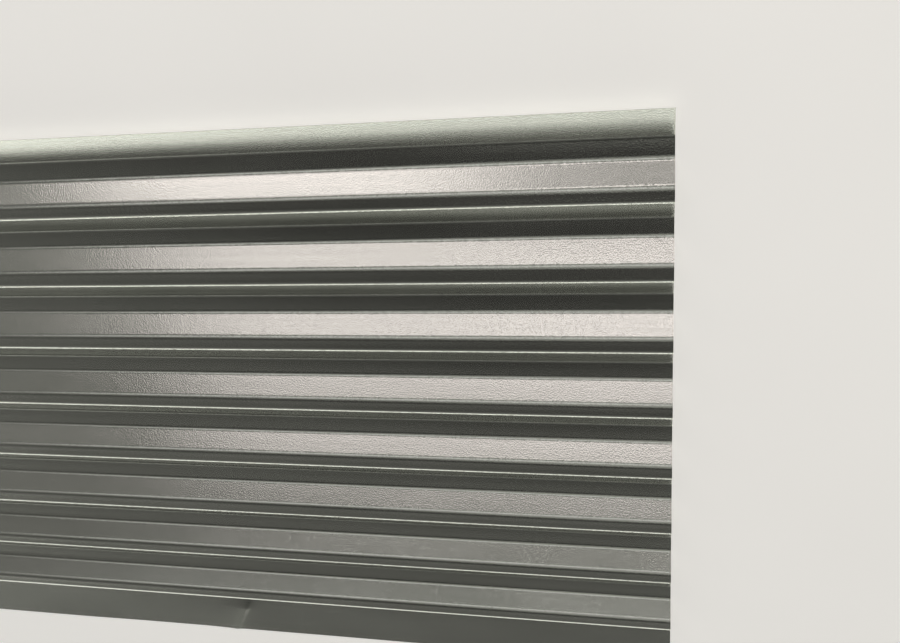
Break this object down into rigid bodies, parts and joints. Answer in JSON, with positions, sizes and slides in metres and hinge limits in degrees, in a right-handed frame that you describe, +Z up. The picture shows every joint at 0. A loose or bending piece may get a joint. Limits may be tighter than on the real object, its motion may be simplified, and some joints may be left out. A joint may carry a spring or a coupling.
{
  "type": "corrugated metal sheet",
  "caption": "Galvanized steel roofing sheet with straight trapezoidal waves along its length, a raised web on one edge and a flat flange on the other.",
  "frame": {"origin": "under the middle of the sheet, at the height of the undersides of its valleys", "axes": "+X along the waves, +Y across them towards the raised edge, +Z up"},
  "size_m": [2, 0.665, 0.0174],
  "materials": {
    "galvanized_steel": "bright zinc coating with a fine rolled grain"
  },
  "bodies": {
    "root": {"corrugated_sheet": "galvanized_steel"}
  },
  "joints": []
}
